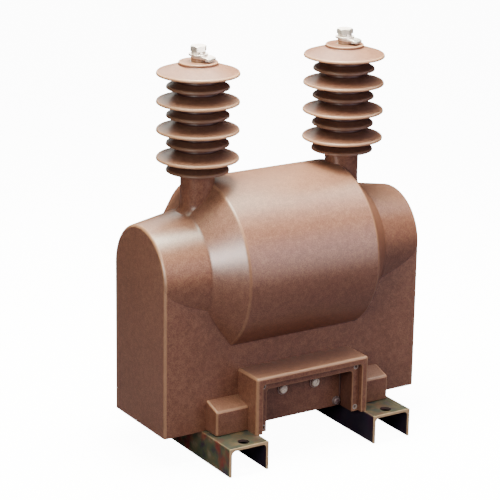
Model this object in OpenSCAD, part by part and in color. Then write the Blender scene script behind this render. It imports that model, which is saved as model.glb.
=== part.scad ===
// Outdoor cast-resin voltage transformer with two high-voltage bushings on two base channels.
// X runs along the coil axis, the terminal box faces -Y, and Z is up from the feet of the channels.

/* [Casting] */
// Length of the casting between its two end faces
casting_length = 335; // [330:1:350]
// Thickness of the casting between its two flat sides
casting_width = 112; // [108:1:118]
// Height of the coil axis above the mounting surface
axis_height = 206; // [204:1:214]
// Rounding of the casting's outer edges
edge_radius = 3; // [1:0.5:4]

/* [Drum] */
// Diameter of the drum round the coils
drum_diameter = 192; // [188:1:200]
// Length of the drum between its two rims
drum_length = 168; // [166:1:176]
// Rounding of the drum's rims
rim_radius = 5; // [2:0.5:6]
// Diameter of the shoulder at the foot of the steep cone
shoulder_diameter = 130; // [124:1:136]
// Length of the steep cone along the axis
cone_length = 30; // [26:1:32]
// Hollow rounding between the shoulder and the steep cone
shoulder_fillet = 6; // [3:1:9]

/* [Bushings] */
// Distance between the two bushing axes
bushing_spacing = 190; // [180:1:200]
// Height of the top of each bushing above the mounting surface
bushing_top = 436.5; // [430:0.5:446]
// Diameter of the smooth neck under the sheds
neck_diameter = 38; // [34:1:42]
// Diameter of the bushing between its sheds
stem_diameter = 44; // [40:1:48]
// Diameter of the wide sheds
wide_shed_diameter = 91; // [86:1:96]
// Diameter of the narrow sheds
narrow_shed_diameter = 69.5; // [64:0.5:76]
// Distance between two wide sheds
shed_pitch = 31.3; // [30:0.1:32]
// Number of wide sheds, each with a narrow one below it
shed_pairs = 4; // [3:1:4]
// Thickness of a shed at its rim
shed_rim = 2.8; // [2:0.2:4]
// Slope of a shed's upper side in degrees
shed_slope = 18; // [14:1:20]
// Diameter of the cap disc at the top
cap_diameter = 43; // [40:1:48]
// Height of the cap disc's side
cap_thickness = 3.5; // [2.5:0.5:5]

/* [Terminal box] */
// Width of the terminal box
box_width = 148; // [144:1:152]
// How far the box stands out from the casting's side
box_depth = 40; // [36:1:44]
// Height of the box above the casting's underside
box_height = 66; // [62:1:70]
// Width of the box's front rim
box_rim = 8.2; // [7:0.2:10]
// Depth of the step that the cover sat in
rebate_depth = 6.5; // [4:0.5:8]
// Width of the ledge behind the cover
ledge_width = 8.6; // [8:0.2:10]
// Thickness of the wall behind the recess, in front of the casting's side
back_wall = 9; // [7:0.5:11]

/* [Lugs] */
// Distance of a lug's outer side from the middle
lug_reach = 114.5; // [112:0.5:118]
// Width of a lug along X
lug_width = 40.5; // [38:0.5:42]
// How far a lug stands out from the casting's side
lug_depth = 22; // [20:0.5:26]
// Height of a lug at the casting's side
lug_height = 37; // [34:1:42]
// Height of a lug at its outer edge
lug_front_height = 28.5; // [26:0.5:32]

/* [Base channels] */
// Width of a channel's web
channel_width = 50; // [46:1:54]
// Height of a channel
channel_height = 33; // [31:1:38]
// Length of a channel
channel_length = 230; // [226:1:244]
// Thickness of a channel's web and legs
channel_wall = 3; // [2.5:0.25:4]
// Hollow rounding inside a channel
channel_fillet = 5; // [3:0.5:6]
// Distance between the two channels' middles
channel_spacing = 190; // [186:1:196]
// Distance between the mounting holes along a channel
hole_spacing = 205; // [202:1:210]
// Diameter of the mounting holes
hole_diameter = 13; // [11:0.5:14]

/* [High-voltage terminals] */
// Thread of the terminal bolts
terminal_thread = 10; // [8:1:12]
// Width across flats of the bolt head
terminal_hex = 16; // [15:0.5:18]
// Height of the bolt head
terminal_head = 6.4; // [5:0.2:8]
// Length of the bolt's shank
terminal_shank = 25; // [20:1:30]
// Diameter of the flat washers
terminal_washer_diameter = 21; // [18:0.5:24]
// Thickness of the flat washers
terminal_washer_thickness = 2; // [1.5:0.1:2.5]
// Diameter of the spring washers
terminal_spring_diameter = 15.8; // [15:0.2:18]
// Thickness of the spring washers
terminal_spring_thickness = 2.4; // [2:0.1:3]
// Width of the terminal tabs
tab_width = 16; // [14:0.5:18]
// Reach of a tab's free end from the bolt
tab_reach = 18; // [15:0.5:24]
// Thickness of the tabs
tab_thickness = 2.6; // [2:0.1:4]
// Direction of the tabs in degrees from +X
tab_angle = -60; // [-75:1:60]
// Diameter of the tinned inserts in the bushings
terminal_insert_diameter = 18; // [16:0.5:20]
// Length of the tinned inserts inside the resin
terminal_insert_length = 30; // [28:1:36]
// Height of the insert's collar above the cap
terminal_collar = 4; // [2:0.5:6]

/* [Low-voltage terminals] */
// Distance between the two secondary terminals
secondary_spacing = 43; // [38:1:48]
// Height of the secondary terminals above the casting's underside
secondary_height = 35; // [32:0.5:38]
// Distance of the earth terminal from the recess's side
earth_inset = 5.6; // [5.6:0.2:9]
// Height of the earth terminal above the casting's underside
earth_height = 6.5; // [6:0.25:9]
// Thread of the secondary screws
secondary_thread = 6; // [5:0.5:6.5]
// Diameter of the secondary screw heads
secondary_head_diameter = 9.6; // [9:0.2:11]
// Height of the secondary screw heads
secondary_head = 3.8; // [3:0.2:5]
// Thread of the earth screw
earth_thread = 5; // [4:0.5:5.5]
// Diameter of the earth screw's head
earth_head_diameter = 8.4; // [8:0.2:9.4]
// Height of the earth screw's head
earth_head = 3.2; // [2.5:0.1:4]
// Thickness of the low-voltage washers
small_washer_thickness = 1.6; // [1.2:0.1:2]
// How far a washer stands out round the screw's head
small_washer_overlap = 1.7; // [1.2:0.1:2]
// Length of the low-voltage screws' shanks
small_shank = 12; // [10:0.5:13]
// Thread of the missing cover's screws
cover_thread = 4; // [3:0.5:4]
// Length of the tinned inserts for the cover's screws
cover_insert_length = 9; // [7:0.5:11]

/* [Channel fastening] */
// Thread of the bolts that hold the channels
channel_thread = 8; // [6:1:8]
// Width across flats of those bolts
channel_hex = 13; // [12:0.5:14]
// Height of their heads
channel_head = 5.3; // [4.5:0.1:6]
// Length of their shanks
channel_shank = 24; // [20:1:26]
// Diameter of their flat washers
channel_washer_diameter = 16; // [15:0.5:18]
// Thickness of their flat washers
channel_washer_thickness = 1.6; // [1.4:0.1:2]
// Thickness of their spring washers
channel_spring_thickness = 2; // [1.6:0.1:2.4]
// Distance of the bolts from the casting's side, in the lugs
channel_bolt_offset = 10.5; // [9.5:0.5:12]
// Length of the steel inserts in the lugs
channel_insert_length = 22; // [20:0.5:23]

/* [Core and coils] */
// Thickness of the wound core, seen from the front
core_thickness = 44; // [40:1:48]
// Depth of the core's strip
core_strip = 52; // [46:1:56]
// Resin between the core and the casting's end faces
core_end_cover = 24; // [20:1:28]
// Resin between the core and the casting's underside
core_foot_cover = 24; // [20:1:28]
// Rounding of the core's outer corners
core_corner = 24; // [16:1:30]
// Thickness of the steel bands round the core
band_thickness = 0.8; // [0.5:0.1:1.2]
// Width of the steel bands
band_width = 14; // [10:1:16]
// Wall of the winding tube and of the barrier tube
tube_wall = 2.5; // [2:0.25:3]
// Build of the secondary winding
secondary_build = 8; // [6:0.5:9]
// Length of the secondary winding
secondary_length = 132; // [126:1:138]
// Resin between the primary coils and the drum's outside
drum_cover = 17; // [15:1:20]
// Length of the two primary coils with the gap between them
primary_length = 124; // [118:1:128]
// Gap between the two primary coils
primary_gap = 8; // [6:1:12]
// Diameter of the leads
lead_diameter = 3; // [2:0.5:4]

/* [Hidden] */

$fn = 64;

resin_colour = [0.55, 0.33, 0.25];
zinc_colour = [0.66, 0.60, 0.38];
bright_colour = [0.80, 0.80, 0.80];
brass_colour = [0.80, 0.66, 0.36];
steel_colour = [0.42, 0.43, 0.46];
copper_colour = [0.72, 0.42, 0.25];
board_colour = [0.78, 0.68, 0.50];

cut = 1;                  // how far a cut runs past a face
thread_play = 0.1;        // between a shank and the bore it screws into, on the diameter
hole_play = 0.6;          // between a shank and a washer's hole, on the diameter
sides = [-1, 1];

// Shares of a bolt or screw
hex_bevel = 0.07;         // height of the head's bevel, of the width across flats
bolt_point = 0.1;         // bevel at the end of a shank, of the thread
slot_width = 0.14;        // of the head's diameter
slot_floor = 0.55;        // height of the slot's floor, of the head's height
head_rounding = 0.3;      // of the head's height
spring_slant = 35;        // angle of a spring washer's split
spring_gap = 1;           // width of that split
spring_diameter = 1.6;    // of the thread, for the channels' spring washers
bolt_turns = [20, 58];    // how far the two hexagon heads are turned
screw_turns = [15, 65];   // how far the slots of the two secondary screws are turned
earth_turn = 30;

half_length = casting_length / 2;
half_width = casting_width / 2;
floor_z = channel_height; // the casting's underside lies on the channels
drum_radius = drum_diameter / 2;
shoulder_radius = shoulder_diameter / 2;
cone_end = drum_length / 2 + cone_length;

// Heights and radii of the bushing
neck_radius = neck_diameter / 2;
stem_radius = stem_diameter / 2;
cap_radius = cap_diameter / 2;
wide_radius = wide_shed_diameter / 2;
narrow_radius = narrow_shed_diameter / 2;
top_shed_z = bushing_top - cap_thickness - (wide_radius - cap_radius) * tan(shed_slope) - shed_rim / 2;
narrow_drop = shed_pitch * 0.48;   // a narrow shed hangs nearly halfway to the next wide one
lowest_drop = shed_pitch * 0.43;   // the lowest narrow shed hangs a little nearer
neck_top_z = top_shed_z - (shed_pairs - 1) * shed_pitch - lowest_drop;
under_slope = 4;          // slope of a shed's underside in degrees
upper_rounding = shed_rim * 0.9;   // a rim is round above and nearly sharp below
lower_rounding = shed_rim * 0.15;
stem_fillet = 2;
neck_fillet = 5;
flare_radius = 14;        // hollow rounding where the neck spreads
flare_width = 12;         // how far its slanted foot reaches past the neck, into the shoulder
flare_rise = 4;           // height of the slant's start above the shoulder
flare_z = axis_height + shoulder_radius + flare_rise;

// Terminal box
front_y = -half_width - box_depth;
ledge_y = front_y + rebate_depth;
wall_y = -half_width - back_wall;
rebate_half = box_width / 2 - box_rim;
recess_half = rebate_half - ledge_width;
rebate_top = box_height - box_rim;
recess_top = rebate_top - ledge_width;
recess_corner = 4;
lip_radius = channel_wall / 4;     // rounding of the channels' cut edges
ledge_middle = (rebate_half + recess_half) / 2;
cover_screw_low = 5;      // height of the lower cover screws above the casting's underside
cover_screw_high = (rebate_top + recess_top) / 2;

// Core
core_half = half_length - core_end_cover;
core_top = axis_height + core_thickness / 2;
core_bottom = floor_z + core_foot_cover;
core_middle = (core_top + core_bottom) / 2;
core_height = core_top - core_bottom;
window_corner = 3;
band_offset = core_strip / 4;

// Windings, from the core outwards
tube_play = 1;            // between the core's corners and the winding tube
tube_inner = norm([core_thickness, core_strip]) / 2 + tube_play;
tube_outer = tube_inner + tube_wall;
secondary_outer = tube_outer + secondary_build;
barrier_outer = secondary_outer + tube_wall;
primary_outer = drum_radius - drum_cover;
tube_length = secondary_length + 12;   // the tubes stand out past their windings
barrier_length = primary_length + 14;

// High-voltage terminal stack, each piece on the one below
tab_z = bushing_top + terminal_collar;
terminal_washer_z = tab_z + tab_thickness;
terminal_spring_z = terminal_washer_z + terminal_washer_thickness;
terminal_head_z = terminal_spring_z + terminal_spring_thickness;
collar_diameter = terminal_insert_diameter - 2;
tab_corner = 0.15;        // rounding of a tab's free corners, of its width
insert_foot = 4;          // height of the wider foot that keys an insert into the resin
insert_foot_step = 1.5;   // how far that foot stands out

// Smaller inserts, each as wide as its thread and the metal round it
insert_rest = 2;          // room left under a screw's point
small_insert_length = small_shank + insert_foot + insert_rest;
secondary_insert_d = secondary_thread + 5;
earth_insert_d = earth_thread + 4;
cover_insert_d = cover_thread + 2.5;
channel_insert_d = channel_thread + 5;
earth_offset = recess_half - earth_inset;
lead_end_y = wall_y + small_insert_length;

// Channel fastening, each piece under the one above
web_z = channel_height - channel_wall;
channel_washer_z = web_z - channel_washer_thickness;
channel_spring_z = channel_washer_z - channel_spring_thickness;

// Leads
lead_bend = 1.06;         // a lead's bends are a little thicker than its straight runs
link_z = axis_height + primary_outer - lead_diameter;
outlet = 10;              // straight stretch of a high-voltage lead beside its coil
outlet_rise = 26;         // how much higher that lead turns up into its bushing
secondary_outlet = 6;     // straight stretch of a secondary lead beside its winding
secondary_lane = 12;      // how far inside the casting's side the secondary leads run
secondary_turn_z = axis_height - primary_outer - 6;
earth_lane = 14;          // how far inside the casting's side the earth lead runs
earth_start_z = core_bottom + 6;

function unit(v) = v / norm(v);

// An arc of radius r between two straight stretches that would meet at b
function corner(a, b, c, r) = r <= 0 ? [b] :
    let (u = unit(a - b), w = unit(c - b), half = acos(u * w) / 2,
        centre = b + unit(u + w) * r / sin(half),
        p = b + u * r / tan(half) - centre, q = b + w * r / tan(half) - centre,
        start = atan2(p.y, p.x), turn = (atan2(q.y, q.x) - start + 540) % 360 - 180,
        steps = max(2, ceil(abs(turn) / 18)))
    [for (i = [0:steps]) centre + r * [cos(start + turn * i / steps), sin(start + turn * i / steps)]];

// An outline given as rows of x, y and the rounding at that corner
function rounded(rows) = let (n = len(rows)) [for (i = [0:n - 1])
    each corner(flat(rows[(i + n - 1) % n]), flat(rows[i]), flat(rows[(i + 1) % n]), rows[i][2])];
function flat(row) = [row.x, row.y];

// A rectangle with true round corners, centred
module round_rect(size, r) {
    square([size.x - 2 * r, size.y], center = true);
    square([size.x, size.y - 2 * r], center = true);
    for (i = sides, j = sides)
        translate([i * (size.x / 2 - r), j * (size.y / 2 - r)]) circle(r = r);
}

// A tube or, with no bore, a rod that stands on z = 0
module ring(outer, inner, height) {
    difference() {
        cylinder(d = outer, h = height);
        if (inner > 0) translate([0, 0, -cut]) cylinder(d = inner, h = height + 2 * cut);
    }
}

// A tube along X between two places
module sleeve(outer, inner, from, to) {
    translate([from, 0, axis_height]) rotate([0, 90, 0]) ring(2 * outer, 2 * inner, to - from);
}

// A round lead that bends at each point
module lead(points) {
    for (i = [0:len(points) - 2]) {
        run = points[i + 1] - points[i];
        translate(points[i]) rotate([0, acos(run.z / norm(run)), atan2(run.y, run.x)])
            cylinder(d = lead_diameter, h = norm(run), $fn = 24);
        if (i > 0) translate(points[i]) sphere(d = lead_diameter * lead_bend, $fn = 24);
    }
}

// A split ring, cut on the slant
module spring_ring(outer, inner, height) {
    difference() {
        ring(outer, inner, height);
        translate([outer / 2, 0, height / 2]) rotate([spring_slant, 0, 0])
            cube([outer, spring_gap, 3 * height], center = true);
    }
}

// A hexagon-headed bolt whose head stands on z = 0 and whose shank hangs below
module hex_bolt(thread, flats, head, shank) {
    bevel = flats * hex_bevel;
    tip = flats / cos(30) / 2;
    intersection() {
        cylinder(r = tip, h = head, $fn = 6);
        rotate_extrude() polygon([[0, 0], [tip + bevel, 0], [tip + bevel, head - bevel - bevel / 2],
            [flats / 2 - bevel / 2, head], [0, head]]);
    }
    translate([0, 0, -shank]) screw_shank(thread, shank);
}

// A shank with a bevelled point, from z = 0 up
module screw_shank(thread, length) {
    point = thread * bolt_point;
    half = thread / 2;
    rotate_extrude() polygon([[0, 0], [half - point, 0], [half, point], [half, length], [0, length]]);
}

// A slotted cheese-head screw whose head stands on z = 0
module slotted_screw(thread, head_d, head, shank) {
    slot = head_d * slot_width;
    rows = [[0, 0, 0], [head_d / 2, 0, 0], [head_d / 2, head, head * head_rounding], [0, head, 0]];
    difference() {
        rotate_extrude() polygon(rounded(rows));
        translate([-head_d, -slot / 2, head * slot_floor]) cube([2 * head_d, slot, head]);
    }
    translate([0, 0, -shank]) screw_shank(thread, shank);
}

// The outside of an insert whose mouth is at z = 0 and which widens into a foot below
module insert_body(outer, length) {
    translate([0, 0, -length]) {
        cylinder(d = outer, h = length);
        cylinder(d = outer + 2 * insert_foot_step, h = insert_foot);
    }
}

// The room that an insert takes in the resin, open at its mouth
module insert_room(outer, length) {
    insert_body(outer, length);
    translate([0, 0, -cut]) cylinder(d = outer, h = 2 * cut);
}

// A threaded insert, with a collar above its mouth where one is asked for
module insert(outer, thread, length, collar = 0) {
    difference() {
        union() {
            insert_body(outer, length);
            if (collar > 0) cylinder(d = collar_diameter, h = collar);
        }
        translate([0, 0, insert_foot - length]) cylinder(d = thread + thread_play, h = length + collar);
    }
}

// Places a piece of the high-voltage terminals at one bushing
module at_bushing(side, z) {
    translate([side * bushing_spacing / 2, 0, z]) children();
}

// Places a piece on the wall behind the recess, facing the front
module at_wall(x, z) {
    translate([x, wall_y, floor_z + z]) rotate([90, 0, 0]) children();
}

// Places a piece at each of the four bolts that hold the channels
module at_channel_bolts(z) {
    for (i = sides, j = sides)
        translate([i * channel_spacing / 2, j * (half_width + channel_bolt_offset), z]) children();
}

module drum_and_shoulders() {
    rows = [[0, -half_length, 0], [half_width, -half_length, edge_radius],
        [shoulder_radius, -cone_end, shoulder_fillet], [drum_radius, -drum_length / 2, rim_radius],
        [drum_radius, drum_length / 2, rim_radius], [shoulder_radius, cone_end, shoulder_fillet],
        [half_width, half_length, edge_radius], [0, half_length, 0]];
    translate([0, 0, axis_height]) rotate([0, 90, 0])
        rotate_extrude($fn = 128) polygon(rounded(rows));
}

module slab() {
    translate([0, 0, floor_z]) linear_extrude(axis_height - floor_z)
        round_rect([casting_length, casting_width], edge_radius);
}

// Rows of one shed, from its underside up to the stem
function shed(z, radius) = [
    [stem_radius, z - shed_rim / 2 + (radius - stem_radius) * tan(under_slope), stem_fillet],
    [radius, z - shed_rim / 2, lower_rounding],
    [radius, z + shed_rim / 2, upper_rounding],
    [stem_radius, z + shed_rim / 2 + (radius - stem_radius) * tan(shed_slope), stem_fillet]];

module bushing() {
    wide_z = function(i) top_shed_z - (shed_pairs - 1 - i) * shed_pitch;
    under_neck = neck_top_z - shed_rim / 2;
    lowest = shed(neck_top_z, narrow_radius);
    top = shed(top_shed_z, wide_radius);
    rows = concat(
        [[0, axis_height, 0], [neck_radius + flare_width, axis_height, 0],
            [neck_radius + flare_width, flare_z - flare_width, 0], [neck_radius, flare_z, flare_radius],
            [neck_radius, under_neck + (narrow_radius - neck_radius) * tan(under_slope), neck_fillet]],
        [lowest[1], lowest[2], lowest[3]],
        [for (i = [0:shed_pairs - 2]) each concat(shed(wide_z(i), wide_radius),
            shed(wide_z(i + 1) - narrow_drop, narrow_radius))],
        [top[0], top[1], top[2]],
        [[cap_radius, bushing_top - cap_thickness, 0], [cap_radius, bushing_top, cap_thickness * 0.35],
            [0, bushing_top, 0]]);
    rotate_extrude($fn = 96) polygon(rounded(rows));
}

// The box's block, with its front, side and top edges rounded
module box_block() {
    run = 2 * edge_radius;
    depth = box_depth + run;
    translate([0, front_y + depth / 2, floor_z]) intersection() {
        linear_extrude(box_height) translate([0, edge_radius])
            round_rect([box_width, depth + run], edge_radius);
        rotate([90, 0, 0]) linear_extrude(depth, center = true)
            translate([0, box_height / 2 - edge_radius])
            round_rect([box_width, box_height + run], edge_radius);
        rotate([90, 0, 90]) linear_extrude(box_width, center = true)
            translate([edge_radius, box_height / 2 - edge_radius])
            round_rect([depth + run, box_height + run], edge_radius);
    }
}

// An opening cut from the front, open below, with round top corners
module box_cut(half, top, depth) {
    under = cut + recess_corner;
    translate([0, front_y - cut, floor_z]) rotate([-90, 0, 0]) linear_extrude(depth + cut)
        translate([0, (under - top) / 2]) round_rect([2 * half, top + under], recess_corner);
}

module lug(side, face) {
    inner = lug_reach - lug_width;
    root = edge_radius * 2;
    side_rows = [[-root, 0, 0], [lug_depth, 0, 0], [lug_depth, lug_front_height, edge_radius],
        [0, lug_height, 0], [-root, lug_height, 0]];
    middle = inner + lug_width / 2;
    translate([side * middle, face * half_width, floor_z]) facing(face) intersection() {
        rotate([90, 0, 90]) linear_extrude(lug_width, center = true) polygon(rounded(side_rows));
        linear_extrude(lug_height) translate([0, (lug_depth - root) / 2 - edge_radius])
            round_rect([lug_width, lug_depth + root + 2 * edge_radius], edge_radius);
    }
}

// Turns a piece that faces +Y to face the given side
module facing(face) {
    if (face > 0) children();
    else mirror([0, 1, 0]) children();
}

module resin_casting() {
    color(resin_colour) difference() {
        union() {
            slab();
            drum_and_shoulders();
            for (side = sides) at_bushing(side, 0) bushing();
            box_block();
            for (side = sides, face = sides) lug(side, face);
        }
        box_cut(rebate_half, rebate_top, rebate_depth);
        box_cut(recess_half, recess_top, box_depth - back_wall);
        core_envelope();
        windings_envelope();
        leads_envelope();
        for (side = sides) at_bushing(side, bushing_top)
            insert_room(terminal_insert_diameter, terminal_insert_length);
        for (side = sides) at_wall(side * secondary_spacing / 2, secondary_height)
            insert_room(secondary_insert_d, small_insert_length);
        at_wall(earth_offset, earth_height) insert_room(earth_insert_d, small_insert_length);
        at_cover_screws() translate([0, 0, -cover_insert_length])
            cylinder(d = cover_insert_d, h = cover_insert_length + cut);
        at_channel_bolts(floor_z) rotate([180, 0, 0]) insert_room(channel_insert_d, channel_insert_length);
    }
}

module core_outline(extra) {
    round_rect([2 * core_half + 2 * extra, core_height + 2 * extra], core_corner + extra);
}

module core_solid(extra, depth) {
    translate([0, 0, core_middle]) rotate([90, 0, 0]) linear_extrude(depth, center = true)
        core_outline(extra);
}

module core_window() {
    translate([0, 0, core_middle]) rotate([90, 0, 0]) linear_extrude(core_strip + 2 * cut, center = true)
        round_rect([2 * (core_half - core_thickness), core_height - 2 * core_thickness], window_corner);
}

module core() {
    difference() {
        core_solid(0, core_strip);
        core_window();
    }
}

// One half of the core, cut where its two halves butt together in the end legs
module core_half_piece(side) {
    intersection() {
        core();
        translate([0, 0, core_middle + side * core_height / 2])
            cube([casting_length, casting_width, core_height], center = true);
    }
}

module core_upper_half() {
    color(steel_colour) core_half_piece(1);
}

module core_lower_half() {
    color(steel_colour) core_half_piece(-1);
}

module core_bands() {
    color(bright_colour) for (j = sides) translate([0, j * band_offset, 0]) difference() {
        core_solid(band_thickness, band_width);
        core_solid(0, band_width + 2 * cut);
    }
}

module core_envelope() {
    core();
    for (j = sides) translate([0, j * band_offset, 0]) difference() {
        core_solid(band_thickness, band_width);
        core_window();
    }
}

module winding_tube() {
    color(board_colour) sleeve(tube_outer, tube_inner, -tube_length / 2, tube_length / 2);
}

module secondary_winding() {
    color(copper_colour) sleeve(secondary_outer, tube_outer, -secondary_length / 2, secondary_length / 2);
}

module barrier_tube() {
    color(board_colour) sleeve(barrier_outer, secondary_outer, -barrier_length / 2, barrier_length / 2);
}

module primary_coil(side) {
    near = primary_gap / 2;
    far = primary_length / 2;
    color(copper_colour) sleeve(primary_outer, barrier_outer, side > 0 ? near : -far, side > 0 ? far : -near);
}

module primary_coil_left() {
    primary_coil(-1);
}

module primary_coil_right() {
    primary_coil(1);
}

module primary_link() {
    color(copper_colour) lead([[-primary_gap / 2, 0, link_z], [primary_gap / 2, 0, link_z]]);
}

module windings_envelope() {
    winding_tube();
    secondary_winding();
    barrier_tube();
    primary_coil_left();
    primary_coil_right();
    primary_link();
}

// From the outer end of a primary coil, outwards and up into its bushing
module high_voltage_lead(side) {
    start = primary_length / 2;
    top = bushing_top - terminal_insert_length;
    color(copper_colour) lead([[side * start, 0, link_z], [side * (start + outlet), 0, link_z],
        [side * bushing_spacing / 2, 0, link_z + outlet_rise], [side * bushing_spacing / 2, 0, top]]);
}

module high_voltage_lead_left() {
    high_voltage_lead(-1);
}

module high_voltage_lead_right() {
    high_voltage_lead(1);
}

// From each end of the secondary winding down in front of the core to its terminal insert
module secondary_leads() {
    start = secondary_length / 2;
    turn = start + secondary_outlet;
    out = (tube_outer + secondary_outer) / 2;
    lane = -half_width + secondary_lane;
    end = secondary_spacing / 2;
    end_z = floor_z + secondary_height;
    color(copper_colour) for (side = sides) lead([
        [side * start, -out, axis_height], [side * turn, -out, axis_height],
        [side * turn, lane, secondary_turn_z],
        [side * end, lane, end_z], [side * end, lead_end_y, end_z]]);
}

// From the core's lower leg to the earth terminal's insert
module core_earth_lead() {
    lane = -half_width + earth_lane;
    end_z = floor_z + earth_height;
    color(copper_colour) lead([
        [earth_offset, -core_strip / 2, earth_start_z], [earth_offset, lane, earth_start_z],
        [earth_offset, lane, end_z], [earth_offset, lead_end_y, end_z]]);
}

module leads_envelope() {
    for (side = sides) high_voltage_lead(side);
    secondary_leads();
    core_earth_lead();
}

module terminal_insert(side) {
    color(bright_colour) at_bushing(side, bushing_top)
        insert(terminal_insert_diameter, terminal_thread, terminal_insert_length, terminal_collar);
}

module terminal_insert_left() {
    terminal_insert(-1);
}

module terminal_insert_right() {
    terminal_insert(1);
}

// A flat strip clamped under the bolt, with one round end and a free end with rounded corners
module terminal_tab(side) {
    corner = tab_width * tab_corner;
    color(bright_colour) at_bushing(side, tab_z) rotate([0, 0, tab_angle]) difference() {
        linear_extrude(tab_thickness) {
            circle(d = tab_width);
            translate([tab_reach / 2 - corner, 0]) square([tab_reach - 2 * corner, tab_width], center = true);
            translate([tab_reach - 1.5 * corner, 0]) round_rect([3 * corner, tab_width], corner);
        }
        translate([0, 0, -cut]) cylinder(d = terminal_thread + hole_play, h = tab_thickness + 2 * cut);
    }
}

module terminal_tab_left() {
    terminal_tab(-1);
}

module terminal_tab_right() {
    terminal_tab(1);
}

module terminal_flat_washers() {
    color(bright_colour) for (side = sides) at_bushing(side, terminal_washer_z)
        ring(terminal_washer_diameter, terminal_thread + hole_play, terminal_washer_thickness);
}

module terminal_spring_washers() {
    color(bright_colour) for (side = sides) at_bushing(side, terminal_spring_z)
        spring_ring(terminal_spring_diameter, terminal_thread + hole_play, terminal_spring_thickness);
}

module terminal_bolts() {
    color(bright_colour) for (i = [0, 1]) at_bushing(sides[i], terminal_head_z)
        rotate([0, 0, bolt_turns[i]]) hex_bolt(terminal_thread, terminal_hex, terminal_head, terminal_shank);
}

module secondary_inserts() {
    color(brass_colour) for (side = sides) at_wall(side * secondary_spacing / 2, secondary_height)
        insert(secondary_insert_d, secondary_thread, small_insert_length);
}

module secondary_washers() {
    outer = secondary_head_diameter + 2 * small_washer_overlap;
    color(bright_colour) for (side = sides) at_wall(side * secondary_spacing / 2, secondary_height)
        ring(outer, secondary_thread + hole_play, small_washer_thickness);
}

module secondary_screws() {
    color(bright_colour) for (i = [0, 1]) at_wall(sides[i] * secondary_spacing / 2, secondary_height)
        translate([0, 0, small_washer_thickness]) rotate([0, 0, screw_turns[i]])
        slotted_screw(secondary_thread, secondary_head_diameter, secondary_head, small_shank);
}

module earth_insert() {
    color(brass_colour) at_wall(earth_offset, earth_height)
        insert(earth_insert_d, earth_thread, small_insert_length);
}

module earth_washer() {
    outer = earth_head_diameter + small_washer_overlap;
    color(bright_colour) at_wall(earth_offset, earth_height)
        ring(outer, earth_thread + hole_play, small_washer_thickness);
}

module earth_screw() {
    color(bright_colour) at_wall(earth_offset, earth_height) translate([0, 0, small_washer_thickness])
        rotate([0, 0, earth_turn]) slotted_screw(earth_thread, earth_head_diameter, earth_head, small_shank);
}

// Places a piece at each of the four screw places in the ledge, facing the front
module at_cover_screws() {
    for (i = sides, z = [cover_screw_low, cover_screw_high])
        translate([i * ledge_middle, ledge_y, floor_z + z]) rotate([90, 0, 0]) children();
}

module cover_inserts() {
    floor = cover_thread / 2;
    color(bright_colour) at_cover_screws() translate([0, 0, -cover_insert_length]) difference() {
        cylinder(d = cover_insert_d, h = cover_insert_length);
        translate([0, 0, floor]) cylinder(d = cover_thread, h = cover_insert_length);
    }
}

module base_channel(side) {
    middle = side * channel_spacing / 2;
    half = channel_width / 2;
    inner = half - channel_wall;
    lip = lip_radius;
    rows = [[-half, 0, lip], [-half, channel_height, lip], [half, channel_height, lip], [half, 0, lip],
        [inner, 0, lip], [inner, web_z, channel_fillet], [-inner, web_z, channel_fillet], [-inner, 0, lip]];
    color(zinc_colour) translate([middle, 0, 0]) difference() {
        rotate([90, 0, 0]) linear_extrude(channel_length, center = true) polygon(rounded(rows));
        for (j = sides) translate([0, j * hole_spacing / 2, web_z - cut])
            cylinder(d = hole_diameter, h = channel_wall + 2 * cut);
        for (j = sides) translate([0, j * (half_width + channel_bolt_offset), web_z - cut])
            cylinder(d = channel_thread + hole_play, h = channel_wall + 2 * cut);
    }
}

module base_channel_left() {
    base_channel(-1);
}

module base_channel_right() {
    base_channel(1);
}

module channel_inserts() {
    color(steel_colour) at_channel_bolts(floor_z) rotate([180, 0, 0])
        insert(channel_insert_d, channel_thread, channel_insert_length);
}

module channel_flat_washers() {
    color(zinc_colour) at_channel_bolts(channel_washer_z)
        ring(channel_washer_diameter, channel_thread + hole_play, channel_washer_thickness);
}

module channel_spring_washers() {
    color(zinc_colour) at_channel_bolts(channel_spring_z)
        spring_ring(channel_thread * spring_diameter, channel_thread + hole_play, channel_spring_thickness);
}

module channel_bolts() {
    color(zinc_colour) at_channel_bolts(channel_spring_z) rotate([180, 0, 0])
        hex_bolt(channel_thread, channel_hex, channel_head, channel_shank);
}

resin_casting();
base_channel_left();
base_channel_right();
core_upper_half();
core_lower_half();
core_bands();
winding_tube();
secondary_winding();
barrier_tube();
primary_coil_left();
primary_coil_right();
primary_link();
high_voltage_lead_left();
high_voltage_lead_right();
secondary_leads();
core_earth_lead();
terminal_insert_left();
terminal_insert_right();
terminal_tab_left();
terminal_tab_right();
terminal_flat_washers();
terminal_spring_washers();
terminal_bolts();
secondary_inserts();
secondary_washers();
secondary_screws();
earth_insert();
earth_washer();
earth_screw();
cover_inserts();
channel_inserts();
channel_flat_washers();
channel_spring_washers();
channel_bolts();
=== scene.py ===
# Looks of a cast-resin voltage transformer: resin body with two shedded bushings, terminals and base channels.
import math
import bmesh
import bpy
import numpy as np
from mathutils import Matrix, Vector


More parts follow.
